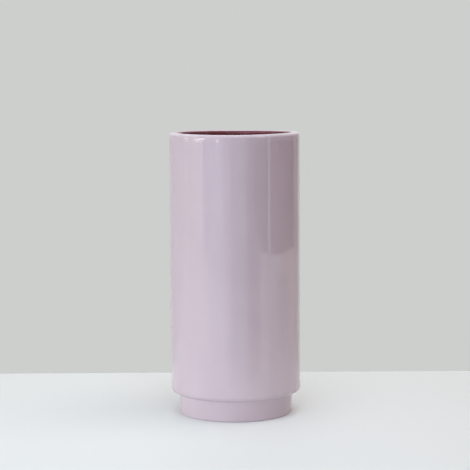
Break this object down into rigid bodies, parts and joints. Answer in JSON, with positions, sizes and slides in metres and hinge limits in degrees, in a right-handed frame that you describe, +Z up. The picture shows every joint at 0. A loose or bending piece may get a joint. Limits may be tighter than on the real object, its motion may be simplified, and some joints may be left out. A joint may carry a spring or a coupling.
{
  "type": "footed cylinder vase",
  "caption": "Tall straight cylinder vase in opaque glossy glass, lilac outside and burgundy inside, with a thick, softly squared lip and a narrower stepped foot.",
  "frame": {"origin": "centre of the flat ring under the foot, on the surface that the vase stands on", "axes": "+Z up along the vase's axis, from the foot to the open mouth; the vase is round, so +X and +Y are free"},
  "size_m": [0.139, 0.139, 0.3],
  "materials": {
    "lilac_glass": "opaque, fire-polished gloss",
    "burgundy_glass": "opaque, fire-polished gloss",
    "foot_lilac_glass": "opaque, fire-polished gloss, rest ring ground flat"
  },
  "bodies": {
    "root": {"outer_casing": "lilac_glass", "inner_lining": "burgundy_glass", "foot": "foot_lilac_glass"}
  },
  "joints": []
}
